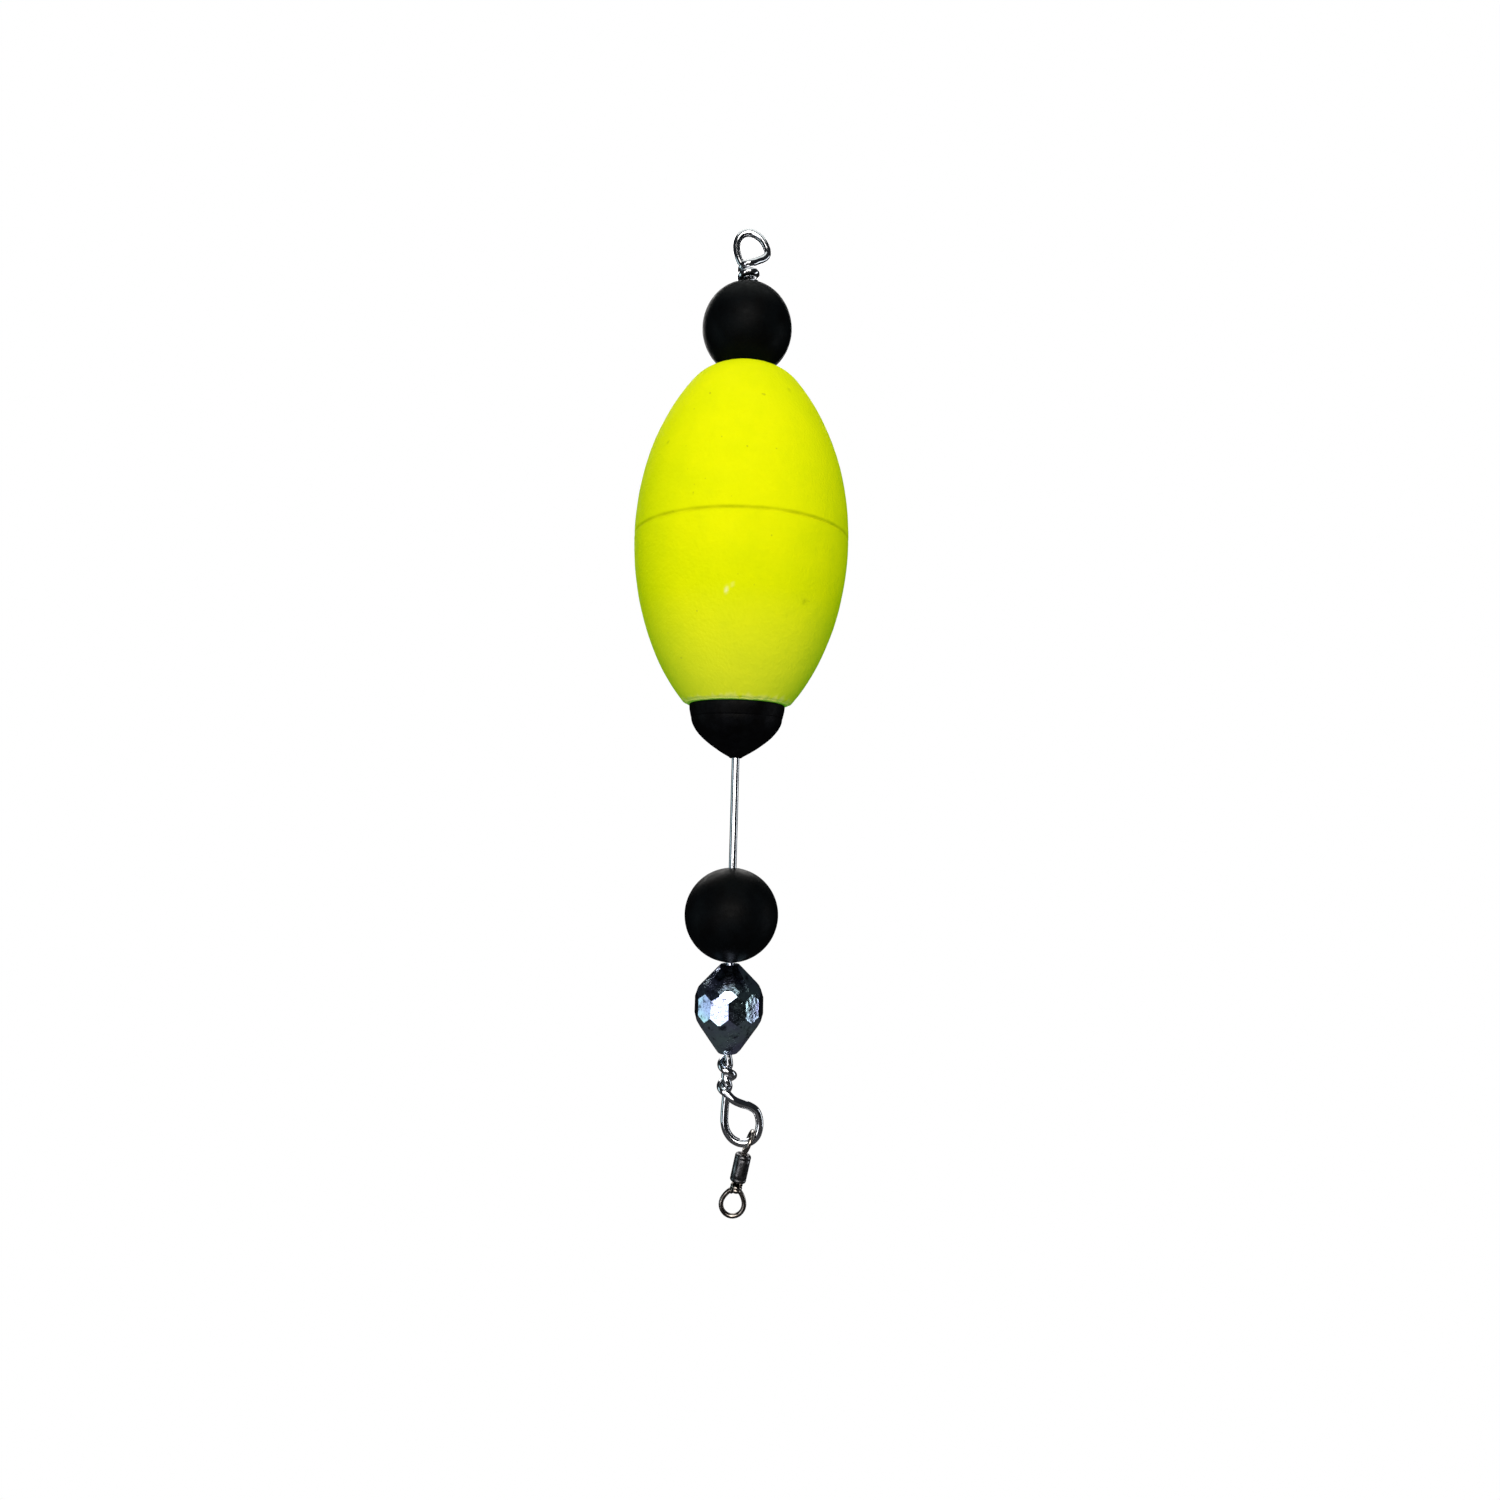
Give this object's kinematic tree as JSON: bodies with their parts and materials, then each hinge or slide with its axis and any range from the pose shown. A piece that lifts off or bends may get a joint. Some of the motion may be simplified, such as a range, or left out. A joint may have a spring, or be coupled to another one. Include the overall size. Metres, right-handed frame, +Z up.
{
  "type": "bobber_float",
  "caption": "Through-wire fishing float: a yellow-green foam body sliding on a wire between black beads, with a weighted cap, a faceted click bead and a barrel swivel.",
  "frame": {"origin": "middle of the line eye at the top of the wire", "axes": "+Z up along the wire, the eyes are bent in the XZ plane, -Y is the front"},
  "size_m": [0.028, 0.028, 0.129],
  "materials": {
    "spring_wire": "polished",
    "black_bead": "satin",
    "yellow_foam": "matte",
    "liner": "satin",
    "black_cap": "satin",
    "mirror_bead": "polished",
    "swivel_wire": "polished",
    "swivel_body": "satin"
  },
  "bodies": {
    "wire": {"main_wire": "spring_wire"},
    "top_slider": {"top_bead": "black_bead"},
    "float": {"foam_float": "yellow_foam", "liner_tube": "liner", "ballast_cap": "black_cap"},
    "lower_bead": {"lower_bead": "black_bead"},
    "click_bead": {"faceted_bead": "mirror_bead"},
    "swivel_top": {"swivel_upper_eye": "swivel_wire"},
    "swivel_body": {"swivel_barrel": "swivel_body"},
    "swivel_foot": {"swivel_lower_eye": "swivel_wire"}
  },
  "joints": [
    {"name": "float_slide", "type": "slide", "parent": "wire", "child": "top_slider", "axis": [0, 0, 1], "range_m": [-0.0138, 0]},
    {"name": "float_spin", "type": "hinge", "parent": "top_slider", "child": "float", "pos_m": [0, 0, -0.0403], "axis": [0, 0, 1], "continuous": true},
    {"name": "lower_bead_spin", "type": "hinge", "parent": "wire", "child": "lower_bead", "pos_m": [0, 0, -0.089], "axis": [0, 0, 1], "continuous": true},
    {"name": "click_bead_spin", "type": "hinge", "parent": "wire", "child": "click_bead", "pos_m": [0, 0, -0.1008], "axis": [0, 0, 1], "continuous": true},
    {"name": "swivel_swing", "type": "hinge", "parent": "wire", "child": "swivel_top", "pos_m": [0.00289, 0, -0.11725], "axis": [0.9261, 0, 0.3772], "range_deg": [-90, 90]},
    {"name": "barrel_spin", "type": "hinge", "parent": "swivel_top", "child": "swivel_body", "pos_m": [0.00235, 0, -0.1187], "axis": [0.1977, 0, 0.9803], "continuous": true},
    {"name": "lower_eye_spin", "type": "hinge", "parent": "swivel_body", "child": "swivel_foot", "pos_m": [0.00201, 0, -0.12039], "axis": [0.1977, 0, 0.9803], "continuous": true}
  ]
}
